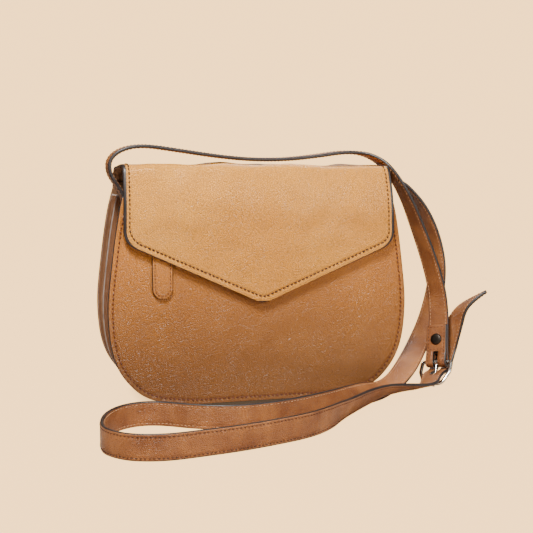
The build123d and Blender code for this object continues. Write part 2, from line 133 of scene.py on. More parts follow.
LONG_ROUTE = [
    ((0.1222, -0.012, 0.147), FORWARD), ((0.1196, -0.012, 0.163), FORWARD),
    ((0.1174, -0.0146, 0.1785), FORWARD), ((0.1235, -0.007, 0.188), FORWARD),
    ((0.134, 0.007, 0.1925), FORWARD), ((0.149, 0.0125, 0.1905), FORWARD),
    ((0.1595, 0.012, 0.1807), (-0.03, -0.99, 0.13)), ((0.17, 0.0115, 0.1676), (0.08, -0.98, 0.18)),
    ((0.1786, 0.011, 0.1516), (0.2, -0.96, 0.12)), ((0.1846, 0.0097, 0.1326), (0.32, -0.94, 0.1)),
    ((0.1876, 0.0077, 0.1115), (0.43, -0.9, 0.03)), ((0.1858, 0.0062, 0.0914), (0.5, -0.85, -0.17)),
    ((0.18, 0.0028, 0.0714), (0.5, -0.82, -0.25)), ((0.1713, -0.003, 0.0534), (0.5, -0.8, -0.3)),
    ((0.1603, -0.0125, 0.0404), (0.5, -0.79, -0.32)), ((0.1476, -0.027, 0.0305), (0.47, -0.8, -0.37)),
    ((0.133, -0.044, 0.022), (0.37, -0.84, -0.4)), ((0.119, -0.054, 0.013), (0.18, -0.9, -0.41)),
    ((0.103, -0.06, 0.0078), (-0.14, -0.9, -0.42)), ((0.086, -0.07, 0.0086), (-0.16, -0.76, -0.62)),
    ((0.07, -0.084, 0.0102), (-0.17, -0.6, -0.78)), ((0.045, -0.1, 0.0103), (-0.05, -0.19, -0.98)),
    ((0.014, -0.115, 0.0103), DOWN), ((-0.018, -0.127, 0.0103), DOWN), ((-0.05, -0.13, 0.0103), DOWN),
    ((-0.078, -0.118, 0.0103), DOWN), ((-0.1, -0.101, 0.0103), DOWN), ((-0.118, -0.097, 0.0103), DOWN),
    ((-0.135, -0.105, 0.0103), DOWN), ((-0.148, -0.123, 0.0103), DOWN), ((-0.155, -0.147, 0.0103), DOWN),
    ((-0.156, -0.168, 0.0103), DOWN), ((-0.151, -0.18, 0.0103), DOWN), ((-0.142, -0.191, 0.0103), DOWN),
    ((-0.13, -0.197, 0.0103), DOWN), ((-0.112, -0.2, 0.0103), DOWN), ((-0.088, -0.196, 0.0103), DOWN),
    ((-0.058, -0.19, 0.0103), DOWN), ((-0.03, -0.181, 0.0103), DOWN), ((0.001, -0.169, 0.0103), DOWN),
    ((0.024, -0.152, 0.0103), (0.03, 0.1, -0.99)), ((0.046, -0.126, 0.0095), (0.18, 0.67, -0.72)),
    ((0.075, -0.099, 0.011), (0.31, 0.74, -0.6)), ((0.1, -0.081, 0.012), (0.33, 0.8, -0.5)),
    ((0.126, -0.066, 0.01), (0.1, 0.87, -0.4)), (at_buckle(0.030, 0.0062), (-0.4, 0.8, -0.25)),
    (at_buckle(0.016, 0.0048), AGAINST), (at_buckle(0.003, -0.0092), AGAINST),
    ((0.183, -0.025, 0.032), (-0.6, 0.78, -0.2)), ((0.1865, -0.025, 0.045), (-0.5, 0.85, -0.15)),
    ((0.19, -0.027, 0.059), (-0.4, 0.9, -0.1)), ((0.196, -0.029, 0.073), (0, 0.99, 0)),
    ((0.206, -0.032, 0.082), (0.3, 0.94, -0.08)), ((0.217, -0.0345, 0.0885), (0.45, 0.88, -0.13)),
]


# --- Camera, light and floor
CAMERA_PLACE = (-0.24719, -0.94382, 0.22460)
CAMERA_DIP = 0.11154                     # radians below level
CAMERA_TURN = -0.27053                   # radians, to the right of straight back
BACKGROUND = (3.72, 2.2, 0.865)          # the paper's glow, whatever light falls on it
GLOW_SHARE = 0.93                        # the rest of what the camera sees is lit paper
SHADOW_CENTRE = (-0.01, -0.018, 0)       # the dark patch painted under the bag
SHADOW_HALF = (("X", 0.088), ("Y", 0.050))


def new_object(name, data):
    made = bpy.data.objects.new(name, data)
    bpy.context.scene.collection.objects.link(made)
    return made


def new_mesh(name, places, faces):
    mesh = bpy.data.meshes.new(name)
    mesh.from_pydata(places, [], faces)
    return mesh


def make_camera():
    data = bpy.data.cameras.new("camera")
    data.lens = 72.95
    data.sensor_width = 36
    camera = new_object("camera", data)
    camera.location = CAMERA_PLACE
    camera.rotation_euler = (math.pi / 2 - CAMERA_DIP, 0, CAMERA_TURN)
    bpy.context.scene.camera = camera


def area_light(name, place, target, size, power, colour):
    data = bpy.data.lights.new(name, "AREA")
    data.shape = "RECTANGLE"
    data.size = size[0]
    data.size_y = size[1]
    data.energy = power
    data.color = colour
    light = new_object(name, data)
    light.location = place
    light.rotation_euler = (Vector(target) - Vector(place)).to_track_quat("-Z", "Y").to_euler()
    return light


def contact_shadow(tree):
    """Brightness of the paper: dark close under the bag and fully bright round it."""
    place = tree.nodes.new("ShaderNodeTexCoord")
    shift = tree.nodes.new("ShaderNodeVectorMath")
    shift.operation = "SUBTRACT"
    shift.inputs[1].default_value = SHADOW_CENTRE
    tree.links.new(place.outputs["Object"], shift.inputs[0])
    size = tree.nodes.new("ShaderNodeVectorMath")
    size.operation = "ABSOLUTE"
    tree.links.new(shift.outputs["Vector"], size.inputs[0])
    split = tree.nodes.new("ShaderNodeSeparateXYZ")
    tree.links.new(size.outputs["Vector"], split.inputs["Vector"])
    beyond = [maths(tree, "SUBTRACT", split.outputs[axis], half) for axis, half in SHADOW_HALF]
    return remap(tree, maths(tree, "MAXIMUM", *beyond), -0.022, 0.012, 0.015, 1.0)


def make_world():
    world = bpy.data.worlds.new("studio")
    world.use_nodes = True
    sky = world.node_tree.nodes["Background"]
    sky.inputs["Color"].default_value = (0.9, 0.8, 0.7, 1)
    sky.inputs["Strength"].default_value = 0.25
    bpy.context.scene.world = world


def floor_paper():
    """Paper whose glow only the camera sees, so that it doesn't light the bag."""
    paper = bpy.data.materials.new("floor_paper")
    paper.use_nodes = True
    tree = paper.node_tree
    shader = tree.nodes["Principled BSDF"]
    shader.inputs["Base Color"].default_value = (0.5, 0.4, 0.32, 1)
    shader.inputs["Roughness"].default_value = 0.9
    shader.inputs["Specular IOR Level"].default_value = 0.0
    glow = tree.nodes.new("ShaderNodeEmission")
    glow.inputs["Color"].default_value = (*BACKGROUND, 1)
    tree.links.new(contact_shadow(tree), glow.inputs["Strength"])
    seen = tree.nodes.new("ShaderNodeLightPath").outputs["Is Camera Ray"]
    mix = tree.nodes.new("ShaderNodeMixShader")
    tree.links.new(maths(tree, "MULTIPLY", seen, GLOW_SHARE), mix.inputs["Fac"])
    tree.links.new(shader.outputs["BSDF"], mix.inputs[1])
    tree.links.new(glow.outputs["Emission"], mix.inputs[2])
    tree.links.new(mix.outputs["Shader"], tree.nodes["Material Output"].inputs["Surface"])
    return paper


def floor_sheet():
    """Floor that curves up into a wall behind the bag."""
    width, front, back, height, bend = 60.0, -60.0, 4.0, 6.0, 2.0
    profile = [(front, 0.0), (back - bend, 0.0)]
    for i in range(1, 17):
        angle = math.pi / 2 * i / 16
        profile.append((back - bend + bend * math.sin(angle), bend - bend * math.cos(angle)))
    profile.append((back, height))
    places = [(x, y, z) for y, z in profile for x in (-width, width)]
    faces = [(2 * i, 2 * i + 1, 2 * i + 3, 2 * i + 2) for i in range(len(profile) - 1)]
    mesh = new_mesh("floor", places, faces)
    for face in mesh.polygons:
        face.use_smooth = True
    mesh.materials.append(floor_paper())
    return new_object("floor", mesh)


def make_stage():
    make_world()
    floor = floor_sheet()
    lights = [
        area_light("key", (-0.24, -0.46, 0.85), (0, 0, 0.14), (0.26, 0.22), 16.5, (1, 0.97, 0.93)),
        area_light("fill", (0.75, -0.75, 0.45), (0, 0, 0.12), (0.4, 0.5), 4.6, (1, 0.98, 0.96)),
        area_light("sheen", (0.36, -1.15, 0.62), (0, 0, 0.16), (0.20, 0.35), 4, (1, 1, 1)),
        area_light("rim", (0.35, 0.9, 0.9), (0, 0, 0.15), (0.9, 0.5), 9, (1, 1, 1)),
    ]


# --- Materials
def new_material(name):
    material = bpy.data.materials.new(name)
    material.use_nodes = True
    tree = material.node_tree
    place = tree.nodes.new("ShaderNodeTexCoord")
    return material, tree, tree.nodes["Principled BSDF"], place.outputs["Object"]


def add_noise(tree, place, scale, detail=4.0, stretch=(1, 1, 1)):
    """Noise of a given scale per metre, stretched along the axes."""
    mapping = tree.nodes.new("ShaderNodeMapping")
    mapping.inputs["Scale"].default_value = stretch
    tree.links.new(place, mapping.inputs["Vector"])
    texture = tree.nodes.new("ShaderNodeTexNoise")
    texture.inputs["Scale"].default_value = scale
    texture.inputs["Detail"].default_value = detail
    tree.links.new(mapping.outputs["Vector"], texture.inputs["Vector"])
    return texture.outputs["Fac"]


def remap(tree, value, low, high, to_low, to_high):
    node = tree.nodes.new("ShaderNodeMapRange")
    node.inputs["From Min"].default_value = low
    node.inputs["From Max"].default_value = high
    node.inputs["To Min"].default_value = to_low
    node.inputs["To Max"].default_value = to_high
    tree.links.new(value, node.inputs["Value"])
    return node.outputs["Result"]


def feed(tree, socket, value):
    """Gives a socket a link, a colour or a number."""
    if isinstance(value, bpy.types.NodeSocket):
        tree.links.new(value, socket)
    elif isinstance(value, tuple):
        socket.default_value = (*value, 1)
    else:
        socket.default_value = value


def maths(tree, operation, *values):
    node = tree.nodes.new("ShaderNodeMath")
    node.operation = operation
    for socket, value in zip(node.inputs, values):
        feed(tree, socket, value)
    return node.outputs["Value"]


def mix_colours(tree, share, first, second):
    node = tree.nodes.new("ShaderNodeMix")
    node.data_type = "RGBA"
    feed(tree, node.inputs[6], first)
    feed(tree, node.inputs[7], second)
    feed(tree, node.inputs[0], share)
    return node.outputs[2]


def add_bump(tree, shader, layers):
    """Stacks bump layers, each a height socket, a strength and a depth in metres."""
    last = None
    for height, strength, depth in layers:
        bump = tree.nodes.new("ShaderNodeBump")
        bump.inputs["Strength"].default_value = strength
        bump.inputs["Distance"].default_value = depth
        tree.links.new(height, bump.inputs["Height"])
        if last:
            tree.links.new(last, bump.inputs["Normal"])
        last = bump.outputs["Normal"]
    tree.links.new(last, shader.inputs["Normal"])


def leather(name, light, dark, grain=640, rough=(0.30, 0.44), depth=0.0006, low=1.0, patches=9):
    """Grained leather: pebbles, slow colour drift, painted shade in creases and near the floor if low < 1.
    """
    material, tree, shader, place = new_material(name)
    drift = add_noise(tree, place, patches, 3)
    cloud = add_noise(tree, place, 60, 5, (1, 1, 0.45))
    fibre = add_noise(tree, place, 2600, 3)
    warp = tree.nodes.new("ShaderNodeVectorMath")
    warp.operation = "MULTIPLY_ADD"
    swirl = tree.nodes.new("ShaderNodeTexNoise")
    swirl.inputs["Scale"].default_value = 420
    tree.links.new(place, swirl.inputs["Vector"])
    tree.links.new(swirl.outputs["Color"], warp.inputs[0])
    warp.inputs[1].default_value = (0.0007, 0.0007, 0.0007)
    tree.links.new(place, warp.inputs[2])
    pebble = tree.nodes.new("ShaderNodeTexVoronoi")
    pebble.feature = "DISTANCE_TO_EDGE"
    pebble.inputs["Scale"].default_value = grain
    tree.links.new(warp.outputs["Vector"], pebble.inputs["Vector"])
    crease = remap(tree, pebble.outputs["Distance"], 0.0, 0.16, 0.0, 1.0)
    tone = mix_colours(tree, remap(tree, drift, 0.32, 0.68, 0.0, 1.0), dark, light)
    tone = mix_colours(tree, remap(tree, cloud, 0.3, 0.7, 0.0, 0.45), tone, dark)
    # painted shade: the pebbles' creases are darkened in colour, on top of their bump
    deep = mix_colours(tree, 0.38, tone, (0.05, 0.02, 0.008))
    tone = mix_colours(tree, crease, deep, tone)
    # painted shade: below 0.13 m the colour darkens towards the floor, mixing in up to 1 - low of dark brown
    if low < 1:
        split = tree.nodes.new("ShaderNodeSeparateXYZ")
        tree.links.new(place, split.inputs["Vector"])
        height = remap(tree, split.outputs["Z"], 0.02, 0.13, 1.0 - low, 0.0)
        tone = mix_colours(tree, height, tone, (0.05, 0.02, 0.008))
    tree.links.new(tone, shader.inputs["Base Color"])
    shade = remap(tree, cloud, 0.3, 0.7, rough[0], rough[1])
    tree.links.new(shade, shader.inputs["Roughness"])
    shader.inputs["Specular IOR Level"].default_value = 0.42
    add_bump(tree, shader, [
        (cloud, 0.3, 0.0014), (crease, 0.6, depth), (fibre, 0.1, 0.0001),
    ])
    return material


def plain(name, light, dark, rough, scale, metallic=0.0, bump=0.2, depth=0.0001):
    """Material with fine noise in its colour, roughness and relief."""
    material, tree, shader, place = new_material(name)
    speck = add_noise(tree, place, scale, 5)
    broad = add_noise(tree, place, scale / 12, 3)
    tone = mix_colours(tree, remap(tree, broad, 0.35, 0.65, 0.0, 1.0), dark, light)
    tone = mix_colours(tree, remap(tree, speck, 0.35, 0.65, 0.25, 0.0), tone, dark)
    tree.links.new(tone, shader.inputs["Base Color"])
    tree.links.new(remap(tree, speck, 0.3, 0.7, rough * 0.8, rough * 1.25), shader.inputs["Roughness"])
    shader.inputs["Metallic"].default_value = metallic
    add_bump(tree, shader, [(speck, bump, depth)])
    return material


def woven(name, light, dark, pitch):
    """Plain weave cloth with its threads pitch metres apart."""
    material, tree, shader, place = new_material(name)
    split = tree.nodes.new("ShaderNodeSeparateXYZ")
    tree.links.new(place, split.inputs["Vector"])
    turns = [maths(tree, "MULTIPLY", split.outputs[axis], math.pi / pitch) for axis in ("X", "Z")]
    weave = maths(tree, "MULTIPLY", *[maths(tree, "SINE", turn) for turn in turns])
    worn = add_noise(tree, place, 70, 4)
    tone = mix_colours(tree, remap(tree, weave, -1.0, 1.0, 0.0, 1.0), dark, light)
    tone = mix_colours(tree, remap(tree, worn, 0.3, 0.7, 0.0, 0.35), tone, dark)
    tree.links.new(tone, shader.inputs["Base Color"])
    shader.inputs["Roughness"].default_value = 0.85
    shader.inputs["Sheen Weight"].default_value = 0.3
    add_bump(tree, shader, [(weave, 0.5, 0.0002)])
    return material


# the panels' leather gets painted shade towards the floor (low=0.34)
TAN = leather("tan_leather", (0.58, 0.215, 0.032), (0.44, 0.15, 0.02), low=0.34)
FLAP_TAN = leather("flap_leather", (0.80, 0.355, 0.048), (0.66, 0.265, 0.03))
BAND = leather("gusset_leather", (0.27, 0.115, 0.045), (0.17, 0.07, 0.028), grain=820)
STRAP = leather("strap_leather", (0.48, 0.185, 0.052), (0.22, 0.072, 0.02), rough=(0.28, 0.44),
                grain=700, depth=0.0005, patches=45)
SUEDE = plain("suede", (0.26, 0.13, 0.06), (0.17, 0.085, 0.04), 0.85, 1500, bump=0.5, depth=0.0002)
EDGE = plain("edge_paint", (0.03, 0.022, 0.02), (0.014, 0.011, 0.011), 0.42, 900, bump=0.25)
# painted highlight: the gussets' and divider's dark painted edges get a pale colour for the light they catch
HIGHLIT_EDGE = plain("edge_paint_painted_highlight", (0.42, 0.33, 0.28), (0.2, 0.15, 0.13), 0.45, 900, bump=0.25)
DARK_THREAD = plain("dark_thread", (0.055, 0.014, 0.006), (0.03, 0.008, 0.004), 0.7, 4000)
RUST_THREAD = plain("rust_thread", (0.13, 0.03, 0.01), (0.08, 0.018, 0.007), 0.7, 4000)
LIGHT_THREAD = plain("light_thread", (0.62, 0.33, 0.17), (0.42, 0.2, 0.09), 0.6, 4000)
LINING = woven("lining_cloth", (0.25, 0.17, 0.11), (0.16, 0.1, 0.07), 0.0006)
TAPE = woven("zip_tape", (0.14, 0.08, 0.045), (0.08, 0.045, 0.025), 0.0005)
NICKEL = plain("nickel", (0.80, 0.79, 0.75), (0.62, 0.61, 0.58), 0.2, 1400, 1.0, 0.08, 0.00005)
BRASS = plain("brass", (0.6, 0.43, 0.2), (0.36, 0.25, 0.12), 0.3, 1200, 1.0, 0.12, 0.00006)
DARK_METAL = plain("dark_metal", (0.075, 0.055, 0.04), (0.03, 0.024, 0.02), 0.35, 1200, 0.9, 0.15)
STEEL = plain("steel", (0.5, 0.5, 0.5), (0.35, 0.35, 0.36), 0.3, 1500, 1.0, 0.1)


# --- Mesh helpers
def add_object(name, mesh, materials, body):
    for material in materials:
        mesh.materials.append(material)
    for face in mesh.polygons:
        face.use_smooth = True
    made = new_object(name, mesh)
    if body:
        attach(made, body)
    return made


def outward(mesh):
    """Turns the faces of a closed mesh outwards."""
    work = bmesh.new()
    work.from_mesh(mesh)
    bmesh.ops.recalc_face_normals(work, faces=work.faces)
    work.to_mesh(mesh)
    work.free()


def shell(name, points, normals, thickness, materials, body, lip=1):
    """Closed sheet from a grid of outer points: face, back and a rounded rim, painted over lip cells."""
    rows, columns = points.shape[:2]
    count = rows * columns
    index = np.arange(count).reshape(rows, columns)
    loop = np.concatenate([index[0, :-1], index[:-1, -1], index[-1, :0:-1], index[:0:-1, 0]])
    step_in = np.concatenate([index[1, :-1], index[:-1, -2], index[-2, :0:-1], index[:0:-1, 1]])
    outer = points.reshape(-1, 3).copy()
    inner = outer - normals.reshape(-1, 3) * thickness
    away = outer[loop] - outer[step_in]
    away /= np.maximum(np.linalg.norm(away, axis=1, keepdims=True), 1e-9)
    rim = (outer[loop] + inner[loop]) / 2 + away * thickness * 0.12
    shrink = normals.reshape(-1, 3)[loop] * thickness * 0.16
    outer[loop] -= shrink
    inner[loop] += shrink
    places = np.concatenate([outer, inner, rim])
    a, b = index[:-1, :-1].ravel(), index[:-1, 1:].ravel()
    c, d = index[1:, 1:].ravel(), index[1:, :-1].ravel()
    front = np.stack([a, b, c, d], 1)
    back = np.stack([d, c, b, a], 1) + count
    after = np.roll(loop, -1)
    ring = np.arange(len(loop)) + 2 * count
    ring_after = np.roll(ring, -1)
    upper = np.stack([loop, ring, ring_after, after], 1)
    lower = np.stack([ring, loop + count, after + count, ring_after], 1)
    faces = np.concatenate([front, back, upper, lower])
    mesh = new_mesh(name, places.tolist(), faces.tolist())
    painted = np.full((rows - 1, columns - 1), 2)
    painted[lip:rows - 1 - lip, lip:columns - 1 - lip] = 0
    kinds = np.concatenate([
        painted.ravel(), np.ones(len(back)), np.full(len(upper) + len(lower), 2),
    ]).astype(np.int32)
    made = add_object(name, mesh, materials, body)
    mesh.polygons.foreach_set("material_index", kinds)
    outward(mesh)
    return made


def grid_normals(points):
    """Unit normals of a grid of points, to the side where rows cross columns."""
    along = np.gradient(points, axis=0)
    across = np.gradient(points, axis=1)
    normal = np.cross(across, along)
    return normal / np.maximum(np.linalg.norm(normal, axis=2, keepdims=True), 1e-12)


def curve_through(points, steps):
    """Smooth curve through the points; the first and the last only set the end directions."""
    knots = np.array(points, float)
    pieces = []
    for a, b, c, d in zip(knots, knots[1:], knots[2:], knots[3:]):
        t = np.linspace(0, 1, steps, endpoint=False)[:, None]
        pieces.append(0.5 * (2 * b + (c - a) * t + (2 * a - 5 * b + 4 * c - d) * t**2
                             + (3 * b - a - 3 * c + d) * t**3))
    pieces.append(knots[-2:-1])
    return np.concatenate(pieces)


def rounded_path(corners, radii, step):
    """Polyline with its inner corners rounded, sampled about every step metres."""
    corners = [np.array(corner, float) for corner in corners]
    path = [corners[0]]
    for before, corner, after, radius in zip(corners, corners[1:], corners[2:], radii):
        enter = (before - corner) / np.linalg.norm(before - corner)
        leave = (after - corner) / np.linalg.norm(after - corner)
        half = math.acos(np.clip(enter @ leave, -1, 1)) / 2
        cut = radius / math.tan(half)
        middle = corner + (enter + leave) / np.linalg.norm(enter + leave) * radius / math.sin(half)
        start, end = corner + enter * cut, corner + leave * cut
        turn = math.pi - 2 * half
        count = max(3, int(radius * turn / step))
        first, last = start - middle, end - middle
        for i in range(count + 1):
            share = i / count
            mixed = first * math.sin((1 - share) * turn) + last * math.sin(share * turn)
            path.append(middle + mixed / math.sin(turn))
    path.append(corners[-1])
    dense = [path[0]]
    for point in path[1:]:
        gap = np.linalg.norm(point - dense[-1])
        start = dense[-1]
        pieces = max(1, round(gap / step))
        for i in range(1, pieces + 1):
            dense.append(start + (point - start) * i / pieces)
    return np.array(dense)


def lengths_along(path):
    return np.concatenate([[0], np.cumsum(np.linalg.norm(np.diff(path, axis=0), axis=1))])


def left_of(path):
    """Unit directions to the left along a plane curve."""
    heading = np.gradient(path, axis=0)
    heading /= np.linalg.norm(heading, axis=1, keepdims=True)
    return np.stack([-heading[:, 1], heading[:, 0]], 1)


def offset_curve(path, inset):
    """Plane curve moved to its left by inset."""
    return path + left_of(path) * inset


def distance_to(points, path):
    """Distance of each plane point to the nearest place on a dense path."""
    result = np.full(len(points), 1e9)
    for start in range(0, len(path), 200):
        part = path[start:start + 200]
        gaps = np.linalg.norm(points[:, None, :] - part[None, :, :], axis=2)
        result = np.minimum(result, gaps.min(1))
    return result


def ring_faces(rings, count, base=0):
    """Faces between one ring of count points and the next, for points numbered from base."""
    faces = []
    for i in range(rings - 1):
        for k in range(count):
            a, b = base + i * count + k, base + i * count + (k + 1) % count
            faces.append((a, b, b + count, a + count))
    return faces


def stitches(name, points, normals, pitch, material, body, length=0.0026, width=0.0011):
    """Row of separate threads along a path of surface points, each dipping into the leather."""
    along = lengths_along(points)
    count = max(2, int(along[-1] / pitch))
    marks = (np.arange(count) + 0.5) * along[-1] / count
    sides, rings = 6, 5
    places, faces = [], []
    for number, mark in enumerate(marks):
        slip = 0.06 * length * math.sin(number * 2.4)
        centre, ahead, up = [
            np.array([np.interp(mark + shift, along, source[:, k]) for k in range(3)])
            for shift, source in ((slip, points), (slip + 0.0004, points), (slip, normals))
        ]
        ahead = ahead - centre
        ahead /= max(np.linalg.norm(ahead), 1e-9)
        up /= max(np.linalg.norm(up), 1e-9)
        side = np.cross(ahead, up)
        side /= max(np.linalg.norm(side), 1e-9)
        tilt = 0.07 * math.sin(number * 1.7)
        ahead = ahead + side * tilt
        base = len(places)
        for i in range(rings):
            t = i / (rings - 1) * 2 - 1
            radius = width / 2 * (1 - 0.45 * t**4)
            middle = centre + ahead * t * length / 2 + up * (width * 0.32 - width * 0.62 * t**4)
            for k in range(sides):
                angle = 2 * math.pi * k / sides
                places.append(middle + (side * math.cos(angle) + up * math.sin(angle)) * radius)
        faces += ring_faces(rings, sides, base)
        faces.append(tuple(range(base + sides - 1, base - 1, -1)))
        faces.append(tuple(range(base + (rings - 1) * sides, base + rings * sides)))
    mesh = new_mesh(name, [tuple(place) for place in places], faces)
    return add_object(name, mesh, [material], body)


def cut(obj, cutter):
    """Takes the cutter's shape out of a mesh."""
    modifier = obj.modifiers.new("cut", "BOOLEAN")
    modifier.object = cutter
    modifier.operation = "DIFFERENCE"
    modifier.solver = "EXACT"
    bpy.context.view_layer.update()
    shape = obj.evaluated_get(bpy.context.evaluated_depsgraph_get())
    mesh = bpy.data.meshes.new_from_object(shape)
    obj.modifiers.clear()
    obj.data = mesh
    bpy.data.objects.remove(cutter)


def cutter_shape(places, faces):
    """Closed shape to cut with; the cut's walls get its painted edge."""
    mesh = new_mesh("slot", places, faces)
    outward(mesh)
    mesh.materials.append(EDGE)
    return new_object("slot", mesh)


def wobble(x, z, seed, scale):
    """Slow uneven swelling of leather, from -1 to 1."""
    return noise.noise(Vector((x * scale, z * scale, seed)))


def swelling(x, z, broad, fine, share):
    """Broad wobble and a share of a finer one over a grid, each with its seed and scale."""
    waves = [wobble(a, b, *broad) + share * wobble(a, b, *fine) for a, b in zip(x.ravel(), z.ravel())]
    return np.array(waves).reshape(x.shape)


def distance_grid(x, z, rim):
    return distance_to(np.stack([x.ravel(), z.ravel()], 1), rim).reshape(x.shape)


# --- Body panels
def side_curve(inset):
    """Right-hand side of the body in front view, from the flat base to above the top."""
    side = curve_through([
        (0.030, 0), (0.060, 0), (0.097, 0.006), (0.118, 0.0215), (0.131, 0.046), (0.135, 0.082),
        (0.1315, 0.122), (0.124, 0.170), (0.112, 0.215), (0.100, 0.260),
    ], 40)
    return offset_curve(side, inset) if inset else side


def around(inset, top):
    """The body's outline from the top left, down and round to the top right."""
    side = side_curve(inset)
    side = side[side[:, 1] < top]
    base = np.array([[x, inset] for x in np.linspace(-0.058, 0.058, 60)])
    left = side[::-1] * (-1, 1)
    return np.concatenate([left, base, side])


def lean(z, depth):
    """How far the front panel's face at this depth has moved back at a height."""
    rise = np.maximum(z - BEND_START, 0)
    return BEND_RADIUS - np.sqrt((BEND_RADIUS - depth)**2 - rise**2)


def panel_point(x, z, depth, side):
    """Point on the front panel (side -1) or the back panel (side 1), depth behind its face."""
    edge = FRONT if side < 0 else -BACK
    return np.stack([x, -side * (edge + lean(z, depth)), z], -1)


def full_row(near, fine_steps, coarse_steps):
    """Places across a row from -1 to 1, close together over the share near of each half."""
    fine = np.linspace(0, near, fine_steps, endpoint=False)
    half_row = 1 - np.concatenate([fine, np.linspace(near, 1, coarse_steps)])
    return np.concatenate([-half_row, half_row[-2::-1]])


def panel_rows(inset, top):
    """Heights and half widths of a panel's rows, closer together at the base."""
    side = side_curve(inset)
    heights = np.concatenate([
        inset + np.array([0, 0.0003, 0.0008]), np.arange(inset + 0.0014, 0.010, 0.0006),
        np.arange(0.010, top - 0.0012, 0.0017), [top - 0.0008, top],
    ])
    return heights, np.interp(heights, side[:, 1], side[:, 0])


def panel_grid(inset, top):
    heights, halves = panel_rows(inset, top)
    row = full_row(0.10, 20, 36)
    x = halves[:, None] * row[None, :]
    z = np.repeat(heights[:, None], len(row), 1)
    return x, z


def seam_relief(distance, groove, depth):
    """Pressed stitch line with a slightly raised border, as height over the surface."""
    line = -depth * np.exp(-((distance - groove) / 0.0009)**2)
    border = 0.00022 * np.exp(-((distance - groove * 0.5) / 0.0014)**2)
    swell = 0.0004 * (1 - np.exp(-np.maximum(distance - groove, 0) / 0.006))
    return line + border + swell


def body_panel(name, side, top, node):
    x, z = panel_grid(0, top)
    rim = np.concatenate([around(0, top), np.array([[x0, top] for x0 in np.linspace(-0.12, 0.12, 200)])])
    distance = distance_grid(x, z, rim)
    height = seam_relief(distance, SEAM, 0.00035)
    soft = np.clip(distance / 0.03, 0, 1)
    waves = swelling(x, z, (3 + side, 22), (8 + side, 60), 0.5)
    calm = np.clip((0.090 - z) / 0.030, 0, 1) if side < 0 else 1    # flat where the pull tab swings
    height = height + waves * 0.0013 * soft * calm
    points = panel_point(x, z, 0, side)
    normals = grid_normals(points)
    normals = np.where((normals[..., 1:2] * side) > 0, normals, -normals)
    points = points + normals * height[..., None]
    made = shell(name, points, normals, PANEL_THICK, [TAN, SUEDE, EDGE], "bag")
    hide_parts(node)
    seam = offset_curve(around(0, top - 0.003), SEAM)
    line = panel_point(seam[:, 0], seam[:, 1], 0, side)
    facing = np.tile([0, side, 0], (len(line), 1)).astype(float)
    line = line + facing * 0.0001
    stitches(f"{name}_stitches", line, facing, 0.0040, RUST_THREAD, "bag")
    return made


def zip_opening(panel):
    """Slot for the zip, with a stitch row round it."""
    outline = []
    for centre, start in ((SLOT_HALF, -90), (-SLOT_HALF, 90)):
        for i in range(13):
            angle = math.radians(start + i * 15)
            outline.append((centre + SLOT_RADIUS * math.cos(angle), ZIP_Z + SLOT_RADIUS * math.sin(angle)))
    count = len(outline)
    places = [(x, y, z) for y in (FRONT - 0.01, FRONT + 0.01) for x, z in outline]
    faces = [(i, (i + 1) % count, count + (i + 1) % count, count + i) for i in range(count)]
    faces += [tuple(range(count)), tuple(range(2 * count - 1, count - 1, -1))]
    cut(panel, cutter_shape(places, faces))
    wide, high, low = ZIP_SEAM_HALF, ZIP_Z + ZIP_SEAM_RISE, ZIP_Z - ZIP_SEAM_RISE
    ring = rounded_path([(0, high), (-wide, high), (-wide, low), (wide, low), (wide, high), (0.001, high)],
                        [0.0084] * 4, 0.002)
    line = panel_point(ring[:, 0], ring[:, 1], 0, -1)
    facing = np.tile([0.0, -1.0, 0.0], (len(line), 1))
    stitches("zip_stitches", line - facing * 0.0001, facing, 0.0034, RUST_THREAD, "bag",
             0.0022, 0.0006)


def divider():
    x, z = panel_grid(0.0004, DIVIDER_TOP)
    points = np.stack([x, np.full_like(x, MIDDLE - PANEL_THICK / 2), z], -1)
    normals = np.tile(np.array([0.0, -1.0, 0.0]), (*x.shape, 1))
    # its rim gets the pale painted highlight of a lit dark edge
    made = shell("divider", points, normals, PANEL_THICK, [BAND, BAND, HIGHLIT_EDGE], "bag")
    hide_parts("divider_panel")


def gusset(name, front, back, node):
    """U-shaped strip between two panels: edges turned out, the wall folded softly inwards."""
    outline = around(0, PANEL_TOP)
    inward = left_of(outline)
    width = back - front
    profile = [
        (0.0, 0.0005), (0.0, 0.0022), (0.0001, 0.0038), (0.0006, 0.0051), (0.0025, 0.0058),
        (0.22 * width, 0.0063), (0.38 * width, 0.0067), (0.5 * width, 0.0069), (0.62 * width, 0.0067),
        (0.78 * width, 0.0063), (width - 0.0025, 0.0058), (width - 0.0006, 0.0051),
        (width - 0.0001, 0.0038), (width, 0.0022), (width, 0.0005),
    ]
    profile = curve_through([profile[0], *profile, profile[-1]], 3)
    grid = np.zeros((len(outline), len(profile), 3))
    for j, (depth, inset) in enumerate(profile):
        ripple = np.array([wobble(x, z, 21 + front * 50, 40) for x, z in outline]) * 0.0005
        deep = min(1, max(0, (inset - 0.005) / 0.0015))
        flat = outline + inward * (inset + ripple * deep)[:, None]
        shift = np.zeros(len(outline))
        if front < -0.02:
            shift = lean(outline[:, 1], 0) * (1 - depth / width)
        if back > 0.02:
            shift = -lean(outline[:, 1], 0) * (depth / width)
        grid[:, j] = np.stack([flat[:, 0], front + depth + shift, flat[:, 1]], 1)
    normals = grid_normals(grid)
    out = np.stack([-inward[:, 0], np.zeros(len(outline)), -inward[:, 1]], 1)
    if np.sum(normals[:, len(profile) // 2] * out) < 0:
        normals = -normals
    # its rims get the pale painted highlight of a lit dark edge
    made = shell(name, grid, normals, BAND_THICK, [BAND, LINING, HIGHLIT_EDGE], "bag")
    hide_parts(node)


